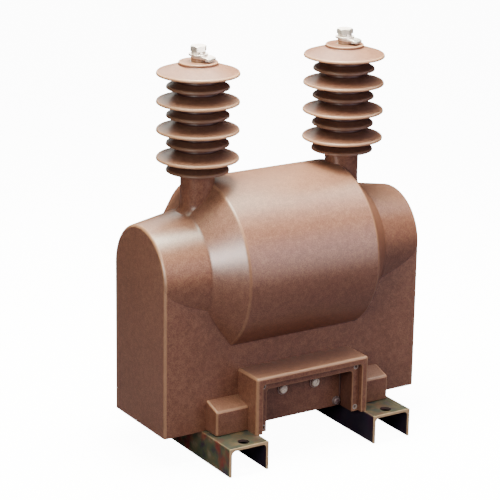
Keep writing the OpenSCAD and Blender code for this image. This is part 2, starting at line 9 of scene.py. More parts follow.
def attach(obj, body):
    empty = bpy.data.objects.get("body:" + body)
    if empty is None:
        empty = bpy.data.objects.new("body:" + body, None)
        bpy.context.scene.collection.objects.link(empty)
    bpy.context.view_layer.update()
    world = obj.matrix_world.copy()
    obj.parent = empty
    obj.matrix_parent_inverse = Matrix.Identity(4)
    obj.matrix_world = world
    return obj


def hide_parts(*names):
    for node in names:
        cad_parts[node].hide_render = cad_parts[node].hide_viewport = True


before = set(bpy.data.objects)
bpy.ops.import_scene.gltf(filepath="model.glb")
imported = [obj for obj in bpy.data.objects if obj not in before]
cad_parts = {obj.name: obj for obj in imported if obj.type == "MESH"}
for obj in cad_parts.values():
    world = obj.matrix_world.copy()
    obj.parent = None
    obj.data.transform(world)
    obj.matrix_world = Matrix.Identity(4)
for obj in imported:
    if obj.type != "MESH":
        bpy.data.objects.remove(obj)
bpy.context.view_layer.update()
mm = 0.001
print("packed part loaded with", len(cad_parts), "nodes")

camera = {
    "azimuth": 32.268,               # degrees to the left of the front
    "elevation": 17.742,
    "roll": -0.904,
    "picture": 500,                  # pixels, wide and high
    "focal": 2112.117,               # pixels
    "distance": 2374.553,            # mm from the aim
    "aim": (0.0, 0.0, 230.0),        # mm
    "aimPixel": (269.645, 232.149),  # where the aim lies in the picture
    "sensor": 36,                    # mm
    "clip": (0.05, 60),              # m
}


def makeCamera(c):
    # back points from the aim to the camera, right and up are level axes rolled about it
    phi, eps, rho = (math.radians(c[key]) for key in ("azimuth", "elevation", "roll"))
    back = np.array([-math.sin(phi) * math.cos(eps), -math.cos(phi) * math.cos(eps), math.sin(eps)])
    level = np.array([math.cos(phi), -math.sin(phi), 0.0])
    upright = np.cross(back, level)
    right = math.cos(rho) * level - math.sin(rho) * upright
    up = math.cos(rho) * upright + math.sin(rho) * level
    perPixel = c["distance"] / c["focal"]
    sideways = (c["aimPixel"][0] - c["picture"] / 2) * perPixel
    upwards = (c["picture"] / 2 - c["aimPixel"][1]) * perPixel
    place = np.array(c["aim"]) + back * c["distance"] - right * sideways - up * upwards
    data = bpy.data.cameras.new("camera")
    data.sensor_width = c["sensor"]
    data.lens = c["focal"] * c["sensor"] / c["picture"]
    data.clip_start, data.clip_end = c["clip"]
    obj = bpy.data.objects.new("camera", data)
    bpy.context.scene.collection.objects.link(obj)
    turn = Matrix((right, up, back)).transposed().to_4x4()
    turn.translation = Vector(place * mm)
    obj.matrix_world = turn
    bpy.context.scene.camera = obj


makeCamera(camera)
print("camera set")


# Shading by expressions: a Wire is a node's output that adds, subtracts and multiplies as a number does
class Wire:
    def __init__(self, paint, socket):
        self.paint = paint
        self.socket = socket

    def maths(self, operation, a, b=0.0, clamp=False):
        return self.paint.node("Math", {"operation": operation, "use_clamp": clamp}, {0: a, 1: b})

    def __add__(self, other):
        return self.maths("ADD", self, other)

    def __sub__(self, other):
        return self.maths("SUBTRACT", self, other)

    def __rsub__(self, other):
        return self.maths("SUBTRACT", other, self)

    def __mul__(self, other):
        return self.maths("MULTIPLY", self, other)

    def __abs__(self):
        return self.maths("ABSOLUTE", self)

    def root(self):
        return self.maths("SQRT", self)

    def sign(self):
        return self.maths("SIGN", self)

    def clip(self):
        # kept between 0 and 1
        return self.maths("ADD", self, 0.0, True)

    __radd__ = __add__
    __rmul__ = __mul__


class Paint:
    # one material, or the world's: node() makes any node, and wear() sets the shader's sockets
    def __init__(self, name, owner=None):
        self.material = owner or bpy.data.materials.new(name)
        self.material.use_nodes = True
        self.nodes = self.material.node_tree.nodes
        self.links = self.material.node_tree.links
        self.shader = self.nodes["Background" if owner else "Principled BSDF"]
        self.place = self.node("TexCoord", out="Object")
        self.normal = self.node("NewGeometry", out="Normal")

    def node(self, kind, settings=None, sockets=None, out=0):
        made = self.nodes.new("ShaderNode" + kind)
        for key, value in (settings or {}).items():
            if key == "stops":
                stops = made.color_ramp.elements
                for i, (where, colour) in enumerate(value):
                    stop = stops[i] if i < 2 else stops.new(where)
                    stop.position = where
                    stop.color = (*colour, 1.0)
            else:
                setattr(made, key, value)
        for key, value in (sockets or {}).items():
            self.feed(made.inputs[key], value)
        return Wire(self, made.outputs[out])

    def feed(self, socket, value):
        if isinstance(value, Wire):
            self.links.new(value.socket, socket)
        else:
            socket.default_value = value

    def wear(self, **values):
        for key, value in values.items():
            self.feed(self.shader.inputs[key.replace("_", " ")], value)
        return self.material

    def noise(self, scale, detail=3.0, roughness=0.55, stretch=None):
        # scale in patterns to the metre
        place = self.place
        if stretch:
            place = self.node("Mapping", {}, {"Vector": self.place, "Scale": stretch})
        return self.node("TexNoise", {}, {"Vector": place, "Scale": scale, "Detail": detail, "Roughness": roughness})

    def ramp(self, value, *stops):
        return self.node("ValToRGB", {"stops": stops}, {0: value})

    def mix(self, share, a, b, blend="MIX"):
        a, b = ((*colour, 1.0) if isinstance(colour, tuple) else colour for colour in (a, b))
        return self.node("Mix", {"data_type": "RGBA", "blend_type": blend}, {0: share, 6: a, 7: b}, 2)

    def fit(self, value, low, high):
        # 0 at low, 1 at high, smooth between
        return self.node("MapRange", {"interpolation_type": "SMOOTHSTEP"}, {0: value, 1: low, 2: high})

    def at(self, axis):
        # where a point lies along an axis, in metres
        return self.node("SeparateXYZ", {}, {0: self.place}, axis)

    def facing(self, axis):
        # how far a point faces along an axis, from -1 to 1
        return self.node("SeparateXYZ", {}, {0: self.normal}, axis)

    def bend(self):
        # above nothing where an edge bulges, below where it is hollow
        return self.node("Attribute", {"attribute_name": "edge"}, out="Fac")

    def bump(self, height, depth, strength, under=None):
        sockets = {"Strength": strength, "Distance": depth, "Height": height}
        if under is not None:
            sockets["Normal"] = under
        return self.node("Bump", {}, sockets)


def tone(red, green, blue):
    # picture values from 0 to 255 made linear
    c = np.array([red, green, blue]) / 255
    return tuple(np.where(c <= 0.04045, c / 12.92, ((c + 0.055) / 1.055) ** 2.4))


def uneven(amount, pattern):
    # the least amount, and what a pattern adds to it
    return amount[0] + amount[1] * pattern


# Resin: red-brown, cloudy and finely speckled; paler where it faces up from dust and a painted sheen, paler along its
# rounded edges from wear and a painted highlight, and darker from painted shade in hollows, between the sheds and on
# the recess's side walls
resinLook = {
    "deep": tone(106, 65, 50),
    "middle": tone(123, 79, 61),
    "pale": tone(142, 98, 77),
    "stops": (0.4, 0.5, 0.6),        # where these three lie in the pattern
    "cloud": (11.0, 0.15),           # patterns to the metre, and their share in the colour
    "mottle": (190.0, 0.25),
    "grain": (900.0, 0.6),
    "red": tone(120, 68, 58),
    "reddish": (70.0, 0.13),
    # pale dust, and a painted sheen of the light from above, where the body faces up
    "dustAndSheen": tone(198, 166, 134),
    "dustAndSheenShare": (0.03, 0.08),           # least share, and what the clouds add
    # pale edge colour: wear, and a painted highlight where rounded edges catch the light
    "edge": tone(196, 150, 114),
    "wearAndHighlight": (0.22, 0.45),
    # painted shade colour for hollows, the gaps between the sheds and the recess's side walls
    "paintedShade": tone(58, 30, 30),
    "hollows": (0.25, 0.4),          # painted shade in hollow corners
    "sheds": (0.27, 0.32),           # painted shade between the sheds
    "walls": 0.5,                    # painted shade on the recess's side walls
    "stems": 0.095,                  # m: the bushings' axes, how far out and how high the painted shade sits
    "shadeOut": (0.034, 0.044),
    "shadeHigh": (0.314, 0.4237),
    "recess": (0.0595, 0.088, 0.06, 0.09),   # m: half width, mouth, back and top
    "roughness": 0.35,
    "shine": 0.65,
    "ripple": (38.0, 0.0005, 0.2),   # patterns to the metre, height in m, strength
    "peel": (300.0, 0.0001, 0.16),
}


def makeResin(look):
    p = Paint("resin")
    deep, middle, pale = zip(look["stops"], (look["deep"], look["middle"], look["pale"]))
    cloud = p.noise(look["cloud"][0], 4.0, 0.5)
    mottle = p.noise(look["mottle"][0], 3.0, 0.5)
    grain = p.noise(look["grain"][0], 2.0, 0.6)
    speckle = look["cloud"][1] * cloud + look["mottle"][1] * mottle + look["grain"][1] * grain
    body = p.ramp(speckle, deep, middle, pale)
    scale, share = look["reddish"]
    body = p.mix(share * p.fit(p.noise(scale, 3.0, 0.6), 0.45, 0.62), body, look["red"])
    # paler where it faces up: dust, and a painted sheen from the light above
    dustAndSheen = p.fit(p.facing(2), 0.3, 1.0) * uneven(look["dustAndSheenShare"], cloud)
    body = p.mix(dustAndSheen, body, look["dustAndSheen"])
    # paler along rounded edges: wear, and a painted highlight
    bend = p.bend()
    wearAndHighlight = bend.clip() * uneven(look["wearAndHighlight"], cloud)
    body = p.mix(wearAndHighlight, body, look["edge"])
    # painted shade between the sheds, where each shed shadows the one below, and on the side walls of the recess
    x, y, z = (p.at(axis) for axis in (0, 1, 2))
    aside = abs(x) - look["stems"]
    out = (aside * aside + y * y).root()
    near, far = look["shadeOut"]
    low, high = look["shadeHigh"]
    between = p.fit(out, far, near) * p.fit(z, low - 0.002, low) * p.fit(z, high, high - 0.0006)
    half, mouth, back, top = look["recess"]
    walls = (p.fit(abs(x), half, half - 0.0005) * p.fit(y, -mouth, 0.001 - mouth) * p.fit(y, 0.001 - back, -back)
             * p.fit(z, top, top - 0.001) * p.fit(abs(p.facing(0)), 0.5, 0.8))
    paintedShade = ((0 - bend).clip() * uneven(look["hollows"], cloud) + between * uneven(look["sheds"], cloud)
             + walls * look["walls"]).clip()
    body = p.mix(paintedShade, body, look["paintedShade"])
    rough = look["roughness"] + 0.06 * (mottle - 0.5) + 0.1 * dustAndSheen + 0.1 * paintedShade + 0.16 * wearAndHighlight
    scale, height, strength = look["ripple"]
    ripple = p.bump(p.noise(scale, 2.0), height, strength)
    scale, height, strength = look["peel"]
    peel = p.bump(grain + 0.7 * p.noise(scale, 3.0), height, strength, ripple)
    return p.wear(Base_Color=body, Roughness=rough, Normal=peel, Specular_IOR_Level=look["shine"])


# Zinc: yellow passivated plate that shimmers green, red and violet in soft patches, with pale cut edges, and painted
# shade in dark navy inside and between the channels and on the walls of the holes
zincLook = {
    "violet": tone(82, 66, 84),
    "green": tone(94, 104, 84),
    "olive": tone(120, 112, 84),
    "pale": tone(150, 140, 120),
    "stops": (0.36, 0.46, 0.56, 0.68),       # where these four lie in the pattern
    "patch": (95.0, 0.5),            # patterns to the metre, and their share in the colour
    "drift": (34.0, 0.3),
    "speck": (300.0, 0.2),
    "red": tone(158, 50, 54),
    "streaks": (74.0, 0.8),
    "gold": tone(176, 138, 92),
    "golden": (55.0, 0.5),
    "shade": (0.46, 0.44, 0.5),      # what the tops keep of each colour
    "shaded": (0.7, 0.4),            # least share, and what the specks add
    # dark navy: painted shade inside and between the channels and in the holes
    "paintedNavyShade": tone(30, 20, 44),
    "cut": tone(230, 194, 148),
    "legs": 0.095,                   # m: middle of each channel and its cut end, from the middle of the object
    "end": 0.115,
    "hole": (0.1025, 0.0065),        # m: along the channel, and its radius
    "metal": (0.45, 0.15),           # how metallic the plate and its cut ends are
    "roughness": 0.38,
    "scratch": (240.0, 0.00012, 0.45),       # patterns to the metre, height in m, strength
}


def makeZinc(look):
    p = Paint("zinc")
    patch = p.noise(look["patch"][0], 2.0, 0.5)
    drift = p.noise(look["drift"][0], 3.0, 0.5)
    speck = p.noise(look["speck"][0], 3.0, 0.6)
    pattern = look["patch"][1] * patch + look["drift"][1] * drift + look["speck"][1] * speck
    colour = p.ramp(pattern, *zip(look["stops"], (look[key] for key in ("violet", "green", "olive", "pale"))))
    top = p.fit(p.facing(2), 0.5, 0.9)
    scale, share = look["streaks"]
    streak = p.fit(p.noise(scale, 3.0, 0.5, (1.0, 0.8, 0.6)), 0.46, 0.74)
    colour = p.mix(share * streak * (0.6 + 0.8 * speck) * (1 - 0.6 * top), colour, look["red"])
    scale, share = look["golden"]
    colour = p.mix(share * p.fit(p.noise(scale, 2.0), 0.52, 0.72), colour, look["gold"])
    colour = p.mix(top * uneven(look["shaded"], speck), colour, look["shade"], "MULTIPLY")
    # only the faces that look away from the middle shimmer: the rest, inside and between the channels, take a painted
    # shade of dark navy
    x, y = p.at(0), p.at(1)
    aside = abs(x) - look["legs"]
    outward = x.sign() * p.facing(0)
    inner = (p.fit(aside * outward, -0.004, -0.016) + p.fit(outward, -0.5, -0.9)).clip()
    colour = p.mix(inner * 0.95, colour, look["paintedNavyShade"])
    # so do the walls of the mounting holes: painted shade
    hole, radius = look["hole"]
    along = abs(y) - hole
    bore = p.fit(aside * aside + along * along, 1.12 * radius ** 2, 1.06 * radius ** 2) * (1 - top)
    colour = p.mix(bore * 0.9, colour, look["paintedNavyShade"])
    ends = (p.fit(abs(y), look["end"] - 0.0009, look["end"] - 0.0003) + 0.14 * p.bend().clip()).clip()
    colour = p.mix(ends * (0.5 + 0.6 * patch).clip(), colour, look["cut"])
    plate, cut = look["metal"]
    metal = (plate - (plate - cut) * ends) * (1 - 0.9 * inner)
    rough = look["roughness"] + 0.2 * patch + 0.15 * ends
    scale, height, strength = look["scratch"]
    scratch = p.bump(p.noise(scale, 4.0, 0.6, (1.0, 0.06, 1.0)) + patch, height, strength)
    return p.wear(Base_Color=colour, Metallic=metal, Roughness=rough, Normal=scratch)


# Plain metals and boards: a colour that drifts between light and dark, under a grain stretched along X, Y and Z
plainCommon = {
    # near-white colour painted along edges as a highlight
    "edge": tone(255, 246, 236),
    "shine": 0.4,                    # share of that near-white colour along edges, a painted highlight
    "metal": 0.3,
    "grain": (1.0, 1.0, 0.3),
    "scratch": 0.15,
    "depth": 0.00004,                # of the scratches, m
    "driftScale": 60.0,              # patterns to the metre
    "grainScale": 500.0,
}
# what differs from that in each look
plainLooks = {
    "brightSteel": {"light": tone(250, 238, 230), "dark": tone(222, 202, 192), "rough": 0.34, "metal": 0.8,
                    "grain": (1.0, 1.0, 0.1), "scratch": 0.03},
    "screwHeads": {"light": tone(255, 244, 222), "dark": tone(252, 232, 206), "rough": 0.28, "metal": 0.0},
    "screwWashers": {"light": tone(146, 110, 100), "dark": tone(108, 76, 70), "rough": 0.45},
    # the earth screw and its washer are darker than the other screws: a painted shade, for where it sits low in the
    # recess
    "earthScrew": {"light": tone(112, 80, 80), "dark": tone(84, 56, 58), "rough": 0.5, "shine": 0.2},
    "inserts": {"light": tone(132, 94, 76), "dark": tone(88, 58, 46), "rough": 0.45, "shine": 0.5},
    "collars": {"light": tone(168, 136, 112), "dark": tone(130, 98, 80), "rough": 0.4, "grain": (1.0, 1.0, 0.1)},
    "brass": {"light": tone(214, 178, 108), "dark": tone(160, 120, 62), "rough": 0.3, "metal": 1.0,
              "grain": (1.0, 1.0, 0.1)},
    "coreSteel": {"light": tone(132, 134, 140), "dark": tone(84, 86, 92), "rough": 0.42, "metal": 0.9,
                  "grain": (0.2, 12.0, 0.2)},
    "copper": {"light": tone(196, 118, 74), "dark": tone(128, 62, 36), "rough": 0.34, "metal": 0.9,
               "grain": (9.0, 0.5, 0.5)},
    "board": {"light": tone(206, 184, 140), "dark": tone(168, 142, 100), "rough": 0.7, "metal": 0.0,
              "grain": (1.0, 1.0, 1.0)},
}


def makePlain(name, look):
    p = Paint(name)
    drift = p.noise(look["driftScale"], 4.0, 0.6)
    grain = p.noise(look["grainScale"], 2.0, 0.5, look["grain"])
    colour = p.ramp(0.6 * drift + 0.4 * grain, (0.35, look["dark"]), (0.62, look["light"]))
    # a painted highlight along edges
    colour = p.mix(p.bend().clip() * look["shine"], colour, look["edge"])
    rough = look["rough"] + 0.12 * (grain - 0.4)
    scratch = p.bump(grain, look["depth"], look["scratch"])
    return p.wear(Base_Color=colour, Metallic=look["metal"], Roughness=rough, Normal=scratch)


resin = makeResin(resinLook)
zinc = makeZinc(zincLook)
plain = {name: makePlain(name, {**plainCommon, **look}) for name, look in plainLooks.items()}
print("materials made")


def filleted(rows, step):
    # a line through rows of (x, y, radius): each arc's centre lies on the corner's bisector, radius / sin(half) away
    rows = [np.array(row, float) for row in rows]
    out = [rows[0][None, :2]]
    for before, row, after in zip(rows, rows[1:], rows[2:]):
        here, radius = row[:2], row[2]
        if radius <= 0:
            out.append(here[None])
            continue
        u, w = (q / np.linalg.norm(q) for q in (before[:2] - here, after[:2] - here))
        half = math.acos(np.clip(u @ w, -1, 1)) / 2
        centre = here + (u + w) / np.linalg.norm(u + w) * radius / math.sin(half)
        p, q = (here + v * radius / math.tan(half) - centre for v in (u, w))
        start = math.atan2(p[1], p[0])
        turn = (math.atan2(q[1], q[0]) - start + 3 * math.pi) % (2 * math.pi) - math.pi
        a = start + turn * np.linspace(0, 1, max(3, math.ceil(abs(math.degrees(turn)) / step) + 1))
        arc = centre + radius * np.stack([np.cos(a), np.sin(a)], -1)
        # a point just outside each end of the arc keeps the pale edge, wear with a painted highlight, narrow
        ends = [end[None] if (far[:2] - end) @ way > far[2] + 1 else end[:0].reshape(0, 2)
                for end, way, far in ((arc[0] + u * 0.7, u, before), (arc[-1] + w * 0.7, w, after))]
        out += [ends[0], arc, ends[1]]
    out.append(rows[-1][None, :2])
    return np.concatenate(out)


def spread(line, longest):
    # straight stretches cut so that no step is longer than asked
    count = np.maximum(1, np.ceil(np.linalg.norm(np.diff(line, axis=0), axis=1) / longest).astype(int))
    which = np.repeat(np.arange(len(count)), count)
    share = (np.arange(len(which)) - np.repeat(np.cumsum(count) - count, count)) / count[which]
    return np.concatenate([line[which] + share[:, None] * (line[which + 1] - line[which]), line[-1:]])


def lathe(profile, turns, centre=(0, 0, 0)):
    # (r, h) at angle t is (r cos t, r sin t, h)
    t = np.linspace(0, 2 * np.pi, turns, endpoint=False)
    r, h = profile[:, :1], profile[:, 1:]
    return np.stack([r * np.cos(t), r * np.sin(t), h + 0 * t], -1) + centre


def facingFront(points, x, y, z):
    # a piece made standing on z = 0 is laid over to look towards -Y: (x, y, z) becomes (x, -z, y)
    return np.stack([points[..., 0] + x, y - points[..., 2], points[..., 1] + z], -1)


def turned(points, degrees, centre=(0, 0, 0)):
    # (x, y) turned about Z, then moved
    c, s = math.cos(math.radians(degrees)), math.sin(math.radians(degrees))
    x, y, z = points[..., 0], points[..., 1], points[..., 2]
    return np.stack([c * x - s * y, s * x + c * y, z], -1) + centre


def gridFaces(rows, columns, start, wrap):
    # vertex numbers of the squares of a grid, joined round when it wraps
    number = start + np.arange(rows * columns).reshape(rows, columns)
    if wrap:
        number = np.concatenate([number, number[:, :1]], 1)
    return np.stack([number[:-1, :-1], number[:-1, 1:], number[1:, 1:], number[1:, :-1]], -1).reshape(-1, 4).tolist()


def makeMesh(name, grids, caps=(), wrap=True):
    # grids of points in mm, and caps as lists of outline points
    points, faces, start = [], [], 0
    for grid in grids:
        faces += gridFaces(grid.shape[0], grid.shape[1], start, wrap)
        points.append(grid.reshape(-1, 3))
        start += points[-1].shape[0]
    for cap in caps:
        faces.append(list(range(start, start + len(cap))))
        points.append(np.asarray(cap, float))
        start += len(cap)
    mesh = bpy.data.meshes.new(name)
    mesh.from_pydata((np.concatenate(points) * mm).tolist(), [], faces)
    bm = bmesh.new()
    bm.from_mesh(mesh)
    bmesh.ops.remove_doubles(bm, verts=bm.verts, dist=2e-6)
    bmesh.ops.dissolve_degenerate(bm, edges=bm.edges, dist=1e-7)
    bmesh.ops.recalc_face_normals(bm, faces=bm.faces)
    bm.to_mesh(mesh)
    bm.free()
    return mesh


def applyModifiers(obj):
    # the piece takes its evaluated mesh
    bpy.context.view_layer.update()
    made = bpy.data.meshes.new_from_object(obj.evaluated_get(bpy.context.evaluated_depsgraph_get()))
    obj.modifiers.clear()
    obj.data = made


def cutAway(obj, cutters):
    # takes closed meshes, given as grids and caps, out of a piece
    helper = bpy.data.objects.new("cutter", makeMesh("cutter", *cutters))
    bpy.context.scene.collection.objects.link(helper)
    cut = obj.modifiers.new("cut", "BOOLEAN")
    cut.object, cut.operation, cut.solver = helper, "DIFFERENCE", "EXACT"
    applyModifiers(obj)
    bpy.data.objects.remove(helper)


def fetch(items, key, width=1, kind=float):
    # one property of all faces, edges or points as an array
    values = np.empty(len(items) * width, kind)
    items.foreach_get(key, values)
    return values.reshape(-1, width) if width > 1 else values


def markEdges(mesh, low=0.1, high=0.36, nearest=0.15, furthest=2.5, widest=1.4):
    # the bend at an edge is the angle between its two faces over the distance between their middles, in 1/mm;
    # a point takes its sharpest edge's bend, above nothing where the surface bulges and below where it is hollow
    normal, middle = fetch(mesh.polygons, "normal", 3), fetch(mesh.polygons, "center", 3) / mm
    size, area = fetch(mesh.polygons, "loop_total", 1, int), fetch(mesh.polygons, "area")
    edge, corner = fetch(mesh.loops, "edge_index", 1, int), fetch(mesh.loops, "vertex_index", 1, int)
    ends, place = fetch(mesh.edges, "vertices", 2, int), fetch(mesh.vertices, "co", 3) / mm
    long = np.linalg.norm(place[ends[:, 0]] - place[ends[:, 1]], axis=1)
    outline = np.add.reduceat(long[edge], np.cumsum(size) - size)
    face = np.repeat(np.arange(len(size)), size)
    order = np.argsort(edge, kind="stable")
    edge, face = edge[order], face[order]
    pair = np.flatnonzero(edge[1:] == edge[:-1])
    one, two, edge = face[pair], face[pair + 1], edge[pair]
    along = place[ends[edge, 1]] - place[ends[edge, 0]]
    along /= np.linalg.norm(along, axis=1, keepdims=True) + 1e-12
    gap = middle[two] - middle[one]
    across = np.linalg.norm(gap - (gap * along).sum(1, keepdims=True) * along, axis=1)
    angle = np.arccos(np.clip((normal[one] * normal[two]).sum(1), -1, 1))
    bend = angle / np.clip(across, nearest, furthest)
    bulges = (gap * normal[one]).sum(1) < 0
    out, hollow = np.zeros(len(place)), np.zeros(len(place))
    for k in (0, 1):
        np.maximum.at(out, ends[edge[bulges], k], bend[bulges])
        np.maximum.at(hollow, ends[edge[~bulges], k], bend[~bulges])
    share = [np.clip((v - low) / (high - low), 0, 1) for v in (out, hollow)]
    value = np.where(share[0] >= share[1], share[0], -share[1])
    # a face's width is twice its area over its outline; a wide face takes none, so that the edge colour, wear with a
    # painted highlight on bulges and painted shade in hollows, keeps to narrow faces along an edge
    value = value[corner] * np.repeat(2 * area / mm ** 2 / outline < widest, size)
    mesh.attributes.new("edge", "FLOAT", "CORNER").data.foreach_set("value", value.astype(np.float32))


def dress(mesh, material):
    mesh.materials.clear()
    mesh.materials.append(material)


def finishPiece(name, mesh, material, node, cutters=None, crisp=32.0, bevel=0.0):
    # cutters are taken out first; angles over crisp degrees stay sharp, and a bevel in mm rounds them
    obj = bpy.data.objects.new(name, mesh)
    bpy.context.scene.collection.objects.link(obj)
    if cutters:
        cutAway(obj, cutters)
    if bevel:
        soft = obj.modifiers.new("soft edges", "BEVEL")
        soft.width, soft.segments, soft.limit_method, soft.angle_limit = bevel * mm, 2, "ANGLE", math.radians(40)
        applyModifiers(obj)
    mesh = obj.data
    mesh.name = name
    dress(mesh, material)
    markEdges(mesh)
    mesh.polygons.foreach_set("use_smooth", np.ones(len(mesh.polygons), bool))
    mesh.set_sharp_from_angle(angle=math.radians(crisp))
    even = obj.modifiers.new("even shading", "WEIGHTED_NORMAL")
    even.keep_sharp = True
    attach(obj, "root")
    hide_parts(node)
    return obj


# Resin body: slab, drum, steep cones and shoulders as one skin
bodySizes = {
    "half": 167.5,                   # mm, as all sizes of pieces: half the length and half the width of the slab
    "width": 56.0,
    "underside": 33.0,
    "axis": 206.0,                   # height of the drum's axis
    "faceMiddle": 140.0,             # height that the end faces close towards
    "edge": 3.0,                     # roundings: round the end faces, along the underside, from slab to drum
    "foot": 0.8,
    "crease": 2.0,
    # right half: along the axis, radius, and how the corner is rounded
    "profile": [(84.0, 96.0, 5), (114.0, 65.0, 6), (168.0, 55.916, 0)],
}


def bodySkin(s):
    # an outline at each x along the axis: the drum's circle of radius r above, the slab of half width w below
    mirrored = [(-x, radius, bend) for x, radius, bend in s["profile"][::-1]]
    line = spread(filleted(mirrored + s["profile"], 7.0), 5.0)
    flat = s["half"] - s["edge"]
    inner = line[np.abs(line[:, 0]) < flat - 0.5, 0]
    phi = np.linspace(0, np.pi / 2, 9)
    out, cut = flat + s["edge"] * np.sin(phi), s["edge"] * (1 - np.cos(phi))
    x = np.concatenate([-out[::-1], inner, out])
    inset = np.concatenate([cut[::-1], 0 * inner, cut])
    w = (s["width"] - inset)[:, None]
    r = np.maximum(np.interp(x, line[:, 0], line[:, 1])[:, None] - inset[:, None], w + 0.04)
    crease, foot, axis, low = s["crease"], s["foot"], s["axis"], s["underside"]
    beta = np.arccos((w + crease) / (r + crease))
    # half outline at each x: underside, foot rounding, side, hollow crease that touches side and circle, circle
    under = np.linspace(0, 1, 6)[:-1]
    turn = np.linspace(-np.pi / 2, 0, 5)
    rise = np.linspace(0, 1, 18)[1:-1]
    bend = np.linspace(0, 1, 6)
    arc = np.linspace(0, 1, 46)[1:]
    hip = axis - (r + crease) * np.sin(beta)
    angle = -beta + (np.pi / 2 + beta) * arc
    y = np.concatenate([
        (w - foot) * under, w - foot + foot * np.cos(turn), w + 0 * rise,
        w + crease - crease * np.cos(beta * bend), r * np.cos(angle)], 1)
    z = np.concatenate([
        low + 0 * w * under, low + foot + foot * np.sin(turn) + 0 * w, low + foot + (hip - low - foot) * rise,
        hip + crease * np.sin(beta * bend), axis + r * np.sin(angle)], 1)
    y = np.concatenate([y, -y[:, -2:0:-1]], 1)
    z = np.concatenate([z, z[:, -2:0:-1]], 1)
    skin = np.stack([x[:, None] + 0 * y, y, z], -1)
    # flat end faces: the last outline shrinks to the middle of the face
    middle = np.array([0, 0, s["faceMiddle"]])
    share = np.array([0.0, 0.25, 0.6, 0.9])[:, None, None]
    shrink = np.concatenate([np.ones_like(share), share, share], 2)
    ends = [(skin[i] - middle) * shrink + middle for i in (0, -1)]
    return np.concatenate([ends[0], skin, ends[1][::-1]], 0)


# Bushings: neck on a slanted foot, pairs of narrow and wide sheds, cap disc
bushingSizes = {
    "at": 95.0,                      # axis, from the middle of the object
    "top": 436.5,
    "cap": 21.5, "capHeight": 3.5, "capRound": (0.8, 1.2),
    "socket": 9.2, "socketDepth": 2,
    "neck": 19.0, "neckBend": 5, "stem": 22.0,
    "start": 240.0, "footWidth": 12.0, "footTop": 275.0, "footRound": 3, "footBend": 14.0,
    "wide": 45.5, "narrow": 34.75,   # radii of the two kinds of shed
    "pairs": 4, "pitch": 31.3,
    "drop": 15.024, "lowestDrop": 13.459,    # from a wide shed down to the narrow one
    "rim": 2.8, "rimRound": (0.42, 2.52), "root": 2,
    "slope": 18.0, "underSlope": 4.0,        # degrees
}


def bushingSkin(side, s):
    # a profile from the foot to the cap's socket, turned about the bushing's axis
    lean, under = math.tan(math.radians(s["slope"])), math.tan(math.radians(s["underSlope"]))
    topShed = s["top"] - s["capHeight"] - (s["wide"] - s["cap"]) * lean - s["rim"] / 2

    def shed(z, radius):
        half, out, (sharp, blunt) = s["rim"] / 2, radius - s["stem"], s["rimRound"]
        return [(s["stem"], z - half + out * under, s["root"]), (radius, z - half, sharp), (radius, z + half, blunt),
                (s["stem"], z + half + out * lean, s["root"])]

    heights = [topShed - s["pitch"] * i for i in range(s["pairs"])][::-1]
    lowest = shed(heights[0] - s["lowestDrop"], s["narrow"])
    neckTop = lowest[1][1] + (s["narrow"] - s["neck"]) * under
    foot = s["neck"] + s["footWidth"]
    rows = [(foot, s["start"], 0), (foot, s["footTop"] - s["footWidth"], s["footRound"]),
            (s["neck"], s["footTop"], s["footBend"]), (s["neck"], neckTop, s["neckBend"])] + lowest[1:]
    for i, z in enumerate(heights[:-1]):
        rows += shed(z, s["wide"]) + shed(heights[i + 1] - s["drop"], s["narrow"])
    rows += shed(topShed, s["wide"])[:3]
    rows += [(s["cap"], s["top"] - s["capHeight"], s["capRound"][0]), (s["cap"], s["top"], s["capRound"][1]),
             (s["socket"], s["top"], 0), (s["socket"], s["top"] - s["socketDepth"], 0)]
    return lathe(spread(filleted(rows, 12.0), 2.5), 128, (side * s["at"], 0, 0))


# Terminal box: rim, stepped ledge and recess as one profile carried along an arch open below
boxSizes = {
    "half": 74.0, "top": 99.0, "bottom": 33.0,
    "back": -54.0, "front": -96.0, "wall": -65.0,    # along Y: where it starts, its rim, and the recess's back
    "rim": 8.2, "rebate": 6.5, "ledge": 8.6,
    "outerEdge": 3.0, "innerCorner": 4.0,
    "coverHole": 6.5, "coverX": 61.5, "coverZ": (38.0, 86.5),
}


